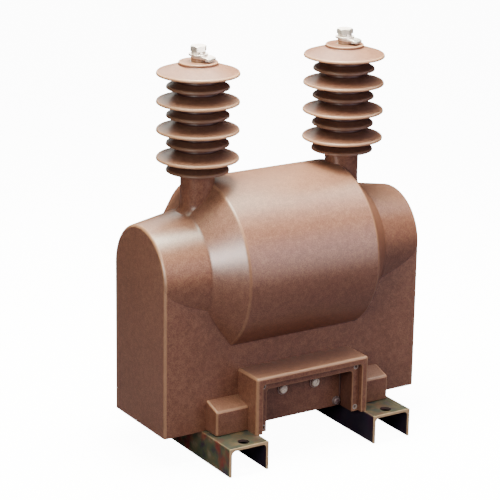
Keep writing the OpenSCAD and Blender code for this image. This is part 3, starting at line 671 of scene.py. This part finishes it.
def boxSkin(s):
    # each row of the skin is an arch inset by t: up the left side, over the top and down the right side
    step = s["front"] + s["rebate"]
    inner, deepest = s["rim"] + s["ledge"], s["top"] - s["bottom"]
    rows = [(0, s["back"], 0), (0, s["front"], s["outerEdge"]), (s["rim"], s["front"], 0.8), (s["rim"], step, 0.5),
            (inner, step, 0.8), (inner, s["wall"], 1.5), (deepest, s["wall"], 0)]
    line = spread(filleted(rows, 12.0), 4.0)
    t, y = line[:, :1], line[:, 1:]
    half, top = s["half"] - t, s["top"] - t
    # corner radius at inset t: the outer edge's own, nothing on the rim, then the recess's, which ends in a point
    insets = [0, s["outerEdge"], s["rim"], deepest - 4, deepest]
    bend = np.interp(t, insets, [s["outerEdge"], 0.2, s["innerCorner"], 3.9, 0.02])
    up, over, turn = np.linspace(0, 1, 9), np.linspace(0, 1, 22)[1:-1], np.linspace(0, np.pi / 2, 9)
    height = top - bend - s["bottom"]
    x = np.concatenate([-half + 0 * up, -half + bend - bend * np.cos(turn), (half - bend) * (2 * over - 1),
                        half - bend + bend * np.sin(turn), half + 0 * up], 1)
    z = np.concatenate([s["bottom"] + height * up, top - bend + bend * np.sin(turn), top + 0 * over,
                        top - bend + bend * np.cos(turn), s["bottom"] + height * (1 - up)], 1)
    skin = np.stack([x, y + 0 * x, z], -1)
    # the legs' cut ends underneath, as one outline that also closes the recess from below
    leg = np.flatnonzero(line[:, 0] <= inner + 1e-6)
    leg = leg[:np.flatnonzero(line[leg, 1] >= s["wall"] - 1.6)[-1] + 1]
    last = np.array([[half[0, 0] - inner, s["wall"], s["bottom"]]])
    left = skin[: leg[-1] + 1, 0]
    under = np.concatenate([left, last * [-1, 1, 1], last, skin[: leg[-1] + 1, -1][::-1]])
    return skin, [under, skin[0]]


def rod(radius, low, high, turns=40):
    # closed cylinder as a grid whose first and last rows are points
    return lathe(np.array([(0.0, low), (radius, low), (radius, high), (0.0, high)]), turns)


def roundedBlock(low, high, radius, steps=5):
    # a ball of that radius whose eight parts are pulled out to the block's corners
    low, high = np.array(low, float), np.array(high, float)
    inner = (high - low) / 2 - radius
    quarter = np.linspace(0, np.pi / 2, steps)
    u = np.concatenate([quarter + k * np.pi / 2 for k in range(4)])
    sx, sy = np.repeat([1, -1, -1, 1], steps), np.repeat([1, 1, -1, -1], steps)
    v = np.concatenate([quarter - np.pi / 2, quarter])[:, None]
    sz = np.repeat([-1, 1], steps)[:, None]
    x = inner[0] * sx + radius * np.cos(u) * np.cos(v)
    y = inner[1] * sy + radius * np.sin(u) * np.cos(v)
    z = inner[2] * sz + radius * np.sin(v) + 0 * u
    grid = np.stack([x + 0 * v, y + 0 * v, z], -1) + (low + high) / 2
    corners = np.arange(0, 4 * steps, steps)
    return grid, [grid[0, corners], grid[-1, corners]]


# Lugs: blocks beside the box and behind, whose tops slope down and away
lugSizes = {
    "inner": 74.0, "outer": 114.5,
    "face": 56.0, "depth": 22.0,     # along Y: the slab's side, and how far a lug reaches out
    "intoBox": 4.0, "intoSlab": 6.0,
    "bottom": 33.0, "lift": 0.03, "high": 37.0, "low": 28.5,
    "edge": 2.6,
}


def lugSkins(s):
    # four blocks, whose height is scaled from high at the slab to low at the free end
    grids, caps = [], []
    for side in (-1, 1):
        for face in (-1, 1):
            near = s["inner"] - (s["intoBox"] if face < 0 else 0)
            left, right = sorted((side * near, side * s["outer"]))
            front, back = sorted((face * (s["face"] - s["intoSlab"]), face * (s["face"] + s["depth"])))
            low = (left, front, s["bottom"] + s["lift"])
            grid, ends = roundedBlock(low, (right, back, s["bottom"] + s["high"]), s["edge"])
            for points in [grid, *ends]:
                out = np.clip((np.abs(points[..., 1]) - s["face"]) / s["depth"], 0, 1)
                share = 1 + (s["low"] / s["high"] - 1) * out
                points[..., 2] = s["bottom"] + (points[..., 2] - s["bottom"]) * share
            grids.append(grid)
            caps += ends
    return grids, caps


def resinPiece(name, mesh, cutters=None):
    return finishPiece(name, mesh, resin, "resin_casting", cutters)


body = resinPiece("resinBody", makeMesh("resinBody", [bodySkin(bodySizes)]))
for side, word in ((-1, "Left"), (1, "Right")):
    resinPiece("bushing" + word, makeMesh("bushing" + word, [bushingSkin(side, bushingSizes)]))
skin, caps = boxSkin(boxSizes)
coverPlaces = [(side * boxSizes["coverX"], boxSizes["front"] + boxSizes["rebate"], z)
               for side in (-1, 1) for z in boxSizes["coverZ"]]
holes = [facingFront(rod(boxSizes["coverHole"] / 2, -9.0, 4.0), *place) for place in coverPlaces]
resinPiece("terminalBox", makeMesh("terminalBox", [skin], caps, wrap=False), (holes,))
resinPiece("lugs", makeMesh("lugs", *lugSkins(lugSizes)))
print("resin pieces made")


# Bolts, washers, screws and inserts, made standing on z = 0
def around(t, rows):
    # each row is a radius and a height at angle t
    return np.stack([np.stack([r * np.cos(t), r * np.sin(t), h + 0 * t], -1) for r, h in rows])


def hexBolt(s):
    # hexagon radius at angle t: flats / 2 / cos(t folded into 60 degrees), its top corners cut by a cone
    flats, head, shank, thread, pitch = (s[key] for key in ("flats", "head", "shank", "thread", "pitch"))
    t = np.linspace(0, 2 * np.pi, 96, endpoint=False)
    fold = (t + np.pi / 6) % (np.pi / 3) - np.pi / 6
    edge = 0.5 * flats / np.cos(fold)
    seat = 0.48 * flats
    crown = 0.46 * flats
    top = head - np.maximum(edge - crown, 0) * math.tan(math.radians(28))
    low = 0.35 + np.maximum(edge - seat, 0) * 0.25
    h = np.linspace(-shank, 0, int(shank / pitch * 8))[:, None]
    # the thread's ridge runs round once for each pitch of height
    wave = np.abs(((h / pitch + t / (2 * np.pi)) % 1.0) - 0.5) * 2
    r = thread / 2 - 0.55 * pitch * (1 - wave) * np.clip((h + shank) / pitch, 0.4, 1)
    dish = head - 0.15
    return around(t, [(0, -shank), *zip(r, h), (seat, 0), (seat, 0.35), (edge, low), (edge, top), (crown, head),
                      (0.36 * flats, head), (0.33 * flats, dish), (0, dish)])


def flatWasher(s):
    # a closed profile turned about the axis
    a, b, thick, edge = s["inner"] / 2, s["outer"] / 2, s["thick"], 0.3
    rows = [(a, 0.2, 0), (a, thick, edge), (b, thick, edge), (b, 0, edge), (a, 0, edge), (a, 0.2, 0)]
    return lathe(filleted(rows, 22.0), 72)


def springWasher(s):
    # a square section with small chamfers, carried once round on a slight climb, open at its split
    t = np.radians(np.linspace(4, 356, 90))[:, None]
    climb = 0.35 * (t / (2 * np.pi) - 0.5)
    a, b, c, thick, play = s["inner"] / 2, s["outer"] / 2, 0.25, s["thick"], 0.18
    high = thick - 2 * play
    r = np.array([a + c, b - c, b, b, b - c, a + c, a, a])
    h = np.array([0, 0, c, high - c, high, high, high - c, c]) + play
    lean = t + 0.09 * (h - thick / 2) * np.cos(t / 2)
    grid = np.stack([r * np.cos(lean), r * np.sin(lean), h + climb], -1)
    return grid, [grid[0], grid[-1]]


def domedScrew(s):
    # a profile from the shank's tip to the middle of the domed head, turned about the axis
    wide, head, shank, thread = s["wide"] / 2, s["head"], s["shank"], s["thread"] / 2
    rows = [(0, -shank, 0), (thread - 0.5, -shank, 0), (thread, -shank + 0.7, 0), (thread, 0, 0), (wide, 0, 0.3),
            (wide, head * 0.9, head * 0.6), (0, head + 0.5, 0)]
    return lathe(spread(filleted(rows, 10.0), 1.0), 64)


def insertSkin(s):
    # radius at height h and angle t: the outside plain, the bore's ridge running round once for each pitch of height
    t = np.linspace(0, 2 * np.pi, 48, endpoint=False)
    bottom, top, wide = -s["length"], -0.05, s["wide"] / 2
    h = np.linspace(bottom + s["floor"], -s["bevel"], 40)[:, None]
    wave = np.abs(((h / s["pitch"] + t / (2 * np.pi)) % 1.0) - 0.5) * 2
    bore = s["bore"] / 2 - 0.6 * s["pitch"] * (1 - wave)
    mouth = s["bore"] / 2 + 0.15
    return around(t, [(0, bottom), (wide, bottom), (wide, top - 0.2), (wide - 0.2, top), (mouth, top),
                      *zip(bore[::-1], h[::-1]), (0, bottom + s["floor"])])


def boltSet(name, s, material):
    # bolts, spring washers and flat washers at places (x, y), each turned by its own angle; hanging ones look down
    way = (1, -1, -1) if s["hanging"] else (1, 1, 1)
    bolts, springs, springCaps, washers = [], [], [], []
    for place, boltTurn, springTurn in zip(s["places"], s["boltTurns"], s["springTurns"]):
        bolts.append(turned(hexBolt(s["bolt"]) * way, boltTurn, (*place, s["bolt"]["at"])))
        grid, caps = springWasher(s["spring"])
        springs.append(turned(grid, springTurn, (*place, s["spring"]["at"])))
        springCaps += [turned(cap, springTurn, (*place, s["spring"]["at"])) for cap in caps]
        washers.append(flatWasher(s["washer"]) + (*place, s["washer"]["at"]))
    kinds = (("Bolts", "_bolts", bolts), ("Springs", "_spring_washers", springs, springCaps),
             ("Washers", "_flat_washers", washers))
    return [finishPiece(name + kind, makeMesh(name + kind, *surface), material, name + node)
            for kind, node, *surface in kinds]


# High-voltage terminals: on each bushing a tab under a bolt with its washers
tabSizes = {
    "at": 440.5, "thick": 2.6, "width": 16.0, "reach": 18.0, "hole": 10.6, "edge": 0.5,
    "angle": -60.0,                  # degrees from the coil axis
    "bendFrom": 9.0, "droop": 2.2,   # the free end bends down past the washer
}
terminalSizes = {
    "places": ((-95.0, 0), (95.0, 0)), "hanging": False,
    "bolt": {"at": 447.5, "flats": 16.0, "head": 6.4, "shank": 25.0, "thread": 9.9, "pitch": 1.5},
    "spring": {"at": 445.1, "outer": 15.8, "inner": 10.6, "thick": 2.4},
    "washer": {"at": 443.1, "outer": 21.0, "inner": 10.6, "thick": 2.0},
    "boltTurns": (20.0, 58.0), "springTurns": (150.0, 250.0),    # degrees
}


def tabSkin(s):
    # outer edge at angle t round the bolt: half a circle behind, a strip with soft corners in front
    t = np.linspace(0, 2 * np.pi, 144, endpoint=False)
    half = s["width"] / 2
    ahead = np.maximum(np.cos(t), 1e-3) / s["reach"]
    across = np.abs(np.sin(t)) / half
    outer = np.where(np.cos(t) > 0, (ahead ** 12 + across ** 12) ** (-1 / 12), half)
    inner, e, thick = s["hole"] / 2, s["edge"], s["thick"]
    rows = []
    # share of the way from the hole to the outer edge, inset and height: below, round the edge, above, down the hole
    for share, inset, z in [(0, 0, e), (0, e, 0), *((k, 0, 0) for k in (0.25, 0.5, 0.75)),
                            (1, e, 0), (1, 0.3 * e, 0.3 * e), (1, 0, e),
                            (1, 0, thick - e), (1, 0.3 * e, thick - 0.3 * e), (1, e, thick),
                            *((k, 0, thick) for k in (0.75, 0.5, 0.25)), (0, e, thick), (0, 0, thick - e), (0, 0, e)]:
        rows.append((inner + (outer - inner) * share + (inset if share < 0.5 else -inset), z))
    grid = around(t, rows)
    past = np.clip(grid[..., 0] - s["bendFrom"], 0, None)
    grid[..., 2] -= s["droop"] * (past / (s["reach"] - s["bendFrom"])) ** 1.6
    return grid


terminals = [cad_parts["terminal_insert_left"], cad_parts["terminal_insert_right"]]
for place, word in zip(terminalSizes["places"], ("left", "right")):
    tab = makeMesh("tab", [turned(tabSkin(tabSizes), tabSizes["angle"], (*place, tabSizes["at"]))])
    tab = finishPiece("terminalTab" + word.title(), tab, plain["brightSteel"], "terminal_tab_" + word)
    terminals.append(tab)
terminals += boltSet("terminal", terminalSizes, plain["brightSteel"])

# Low-voltage and earth terminals: slotted screws with washers on the recess's back wall
secondarySizes = {
    "places": (-21.5, 21.5), "z": 68.0, "wall": -65.0,
    "wide": 9.6, "head": 3.6, "shank": 12.0, "thread": 5.9,
    "washer": {"outer": 13.0, "inner": 6.6, "thick": 1.6},
    "slot": 1.1, "turns": (15.0, 65.0),
}
earthSizes = {
    "places": (51.6,), "z": 39.5, "wall": -65.0,
    "wide": 8.4, "head": 3.0, "shank": 12.0, "thread": 4.9,
    "washer": {"outer": 10.1, "inner": 5.6, "thick": 1.6},
    "slot": 1.2, "turns": (30.0,),
}


def lowVoltage(name, s, screwNode, washerNode, headPaint, washerPaint):
    seat = s["wall"] - s["washer"]["thick"]
    heads, rings, slots, slotCaps = [], [], [], []
    for x, turn in zip(s["places"], s["turns"]):
        rings.append(facingFront(flatWasher(s["washer"]), x, s["wall"], s["z"]))
        heads.append(facingFront(domedScrew(s), x, seat, s["z"]))
        # a slot down to 0.62 of the head's height
        low, high = (-s["wide"], -s["slot"] / 2, s["head"] * 0.62), (s["wide"], s["slot"] / 2, s["head"] * 3)
        block, ends = roundedBlock(low, high, 0.1)
        block, *ends = (facingFront(turned(part, turn), x, seat, s["z"]) for part in (block, *ends))
        slots.append(block)
        slotCaps += ends
    finishPiece(name + "Screws", makeMesh(name, heads), headPaint, screwNode, (slots, slotCaps))
    finishPiece(name + "Washers", makeMesh(name, rings), washerPaint, washerNode)


lowVoltage("secondary", secondarySizes, "secondary_screws", "secondary_washers", plain["screwHeads"], plain["screwWashers"])
lowVoltage("earth", earthSizes, "earth_screw", "earth_washer", plain["earthScrew"], plain["earthScrew"])

# Threaded inserts in the ledge, for the missing cover's screws
coverInsertSizes = {"wide": 6.5, "bore": 4.0, "length": 9.0, "floor": 1.5, "pitch": 0.7, "bevel": 0.55}
inserts = [facingFront(insertSkin(coverInsertSizes), *place) for place in coverPlaces]
finishPiece("coverInserts", makeMesh("inserts", inserts), plain["inserts"], "cover_inserts")

# Bolts that hold the channels from below
channelBoltSizes = {
    "places": ((-95.0, -66.5), (-95.0, 66.5), (95.0, -66.5), (95.0, 66.5)), "hanging": True,
    "bolt": {"at": 26.4, "flats": 13.0, "head": 5.3, "shank": 24.0, "thread": 7.9, "pitch": 1.25},
    "spring": {"at": 26.4, "outer": 12.8, "inner": 8.6, "thick": 2.0},
    "washer": {"at": 28.4, "outer": 16.0, "inner": 8.6, "thick": 1.6},
    "boltTurns": (0, 0, 0, 0), "springTurns": (0, 0, 0, 0),
}
boltSet("channel", channelBoltSizes, zinc)
print("bolts, washers and screws made")

# Base channels: a U profile along Y, drilled for the mounting and the fastening bolts
channelSizes = {
    "x": 95.0, "half": 25.0, "wall": 3.0, "height": 33.0, "length": 230.0,
    "fillet": 5.0, "outer": 0.9, "lip": 0.6, "bevel": 0.25,
    "mounting": 102.5, "mountingHole": 13.0,
    "fastening": 66.5, "fasteningHole": 8.6,
    "crisp": 20.0,                   # degrees
}


def channelSkin(s, side):
    # the same U of (x, z) at each y
    half, inner, web, lip = s["half"], s["half"] - s["wall"], s["height"] - s["wall"], s["lip"]
    leg = [(half, s["height"], s["outer"]), (half, 0, lip), (inner, 0, lip), (inner, web, s["fillet"])]
    mirrored = [(-x, z, radius) for x, z, radius in leg[::-1]]
    line = filleted([(0, s["height"], 0), *leg, *mirrored, (0, s["height"], 0)], 12.0)[:-1]
    y = np.linspace(-s["length"] / 2, s["length"] / 2, 24)[:, None]
    grid = np.stack([line[:, 0] + side * s["x"] + 0 * y, y + 0 * line[:, 0], line[:, 1] + 0 * y], -1)
    return grid, [grid[0], grid[-1]]


s = channelSizes
for side, word in ((-1, "left"), (1, "right")):
    grid, caps = channelSkin(s, side)
    drills = [rod(size / 2, 20.0, 40.0, 48) + (side * s["x"], end * y, 0) for end in (-1, 1)
              for y, size in ((s["mounting"], s["mountingHole"]), (s["fastening"], s["fasteningHole"]))]
    finishPiece("baseChannel" + word.title(), makeMesh("channel", [grid], caps), zinc, "base_channel_" + word,
                (drills,), s["crisp"], s["bevel"])
print("base channels made")

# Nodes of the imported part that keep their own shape
nodeLooks = {
    "collars": ["terminal_insert_left", "terminal_insert_right"],
    "brass": ["secondary_inserts", "earth_insert"],
    "coreSteel": ["core_upper_half", "core_lower_half", "channel_inserts"],
    "brightSteel": ["core_bands"],
    "board": ["winding_tube", "barrier_tube"],
    "copper": ["secondary_winding", "primary_coil_left", "primary_coil_right", "primary_link",
               "high_voltage_lead_left", "high_voltage_lead_right", "secondary_leads", "core_earth_lead"],
}
for look, names in nodeLooks.items():
    for name in names:
        dress(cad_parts[name].data, plain[look])
# replaced nodes take the finish of what stands for them
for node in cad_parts.values():
    if node.hide_render:
        metal = zinc if "channel" in node.name else plain["brightSteel"]
        dress(node.data, resin if node.name == "resin_casting" else metal)

# Floor, sky and light
stageLook = {
    "floor": (0.85, 0.85, 0.85),     # the floor as the camera sees it, and as it lights the object
    "bounce": (0.085, 0.067, 0.08),
    "sky": (0.023, 0.018, 0.024),    # the sky as it lights the object
    "glow": 12.0,                    # how brightly the camera sees both
    "half": 9, "below": 0.0004,      # m
}
warm, mild, cool = (0.96, 1.0, 0.84), (1.0, 1.0, 0.92), (0.9, 0.9, 1.05)
rosy, pink = (1.0, 0.92, 0.9), (1.0, 0.9, 0.86)
# soft round lamps about the object: azimuth and elevation in degrees, strength, width in m, colour
lampRing = {"middle": (0.0, 0.0, 0.23), "distance": 1.0}
lamps = {
    "overhead": (0, 90, 6.6, 0.3, warm),
    "aboveLeft": (180, 78, 6.5, 0.5, warm),
    "aboveFront": (270, 78, 2.8, 0.5, warm),
    "aboveRight": (0, 78, 1.1, 0.5, warm),
    "highRight": (0, 62, 1.5, 0.5, warm),
    "highBack": (60, 62, 1.1, 0.5, mild),
    "highLeft": (185, 57, 1.15, 0.5, warm),
    "back": (84, 42, 1.5, 0.8, mild),
    "right": (340, 45, 0.75, 0.5, cool),
    "left": (215, 18, 1.4, 0.4, mild),
    "front": (270, 18, 0.3, 0.5, cool),
    "frontRight": (300, 18, 0.75, 0.5, cool),
}
# more that show in the body's gloss alone, as windows across a room do
windows = {
    "windowLeft": (203, 11, 3.1, 0.17, pink),
    "windowFront": (302, -2, 0.5, 0.4, rosy),
}
# cards that only the terminals mirror, seen from the bushings' tops; the one in front leaves out the tabs
cardRing = {"middle": (0.0, 0.0, 0.45), "distance": 1.0}
cards = {
    "cardBehind": (58, 20, 2.0, 0.5, mild),
    "cardInFront": (284, -14, 2.0, 0.45, mild),
}
black, white = (0.0, 0.0, 0.0), (1.0, 1.0, 1.0)


def makeFloor(look):
    # a square just under the object, which glows for the camera alone
    half, z = look["half"], -look["below"]
    mesh = bpy.data.meshes.new("floor")
    mesh.from_pydata([(-half, -half, z), (half, -half, z), (half, half, z), (-half, half, z)], [], [(0, 1, 2, 3)])
    floor = bpy.data.objects.new("floor", mesh)
    bpy.context.scene.collection.objects.link(floor)
    p = Paint("floor")
    seen = p.node("LightPath", out="Is Camera Ray")
    colour = p.mix(seen, look["bounce"], look["floor"])
    dress(mesh, p.wear(Base_Color=colour, Roughness=0.9, Specular_IOR_Level=0.0,
                       Emission_Color=p.mix(seen, black, white), Emission_Strength=look["glow"]))


def makeSky(look):
    # the camera sees the sky as pale as the floor, the object is lit by its dim colour
    world = bpy.data.worlds.new("world")
    bpy.context.scene.world = world
    p = Paint("sky", world)
    seen = p.node("LightPath", out="Is Camera Ray")
    p.wear(Color=p.mix(seen, look["sky"], white), Strength=1.0 + (look["glow"] - 1.0) * seen)


def addLamp(name, ring, azimuth, elevation, strength, width, colour, only=()):
    # strength 1 lights the ring's middle as a sun of strength 1 does; where only some pieces are given, it lights those
    a, e = math.radians(azimuth), math.radians(elevation)
    way = Vector((math.cos(a) * math.cos(e), math.sin(a) * math.cos(e), math.sin(e)))
    data = bpy.data.lights.new(name, "AREA")
    data.shape, data.size = "DISK", width
    data.energy, data.color = strength * math.pi * ring["distance"] ** 2, colour
    obj = bpy.data.objects.new(name, data)
    bpy.context.scene.collection.objects.link(obj)
    obj.visible_camera = False
    if only:
        lit = bpy.data.collections.new(name)
        for piece in only:
            lit.objects.link(piece)
        obj.light_linking.receiver_collection = lit
    place = Matrix.Translation(Vector(ring["middle"]) + way * ring["distance"])
    obj.matrix_world = place @ way.to_track_quat("Z", "Y").to_matrix().to_4x4()
    return obj


makeFloor(stageLook)
makeSky(stageLook)
for name, lamp in lamps.items():
    addLamp(name, lampRing, *lamp)
for name, window in windows.items():
    addLamp(name, lampRing, *window, [body]).visible_diffuse = False
for name, card in cards.items():
    addLamp(name, cardRing, *card, [piece for piece in terminals if name == "cardBehind" or "Tab" not in piece.name])
print("floor and light set")
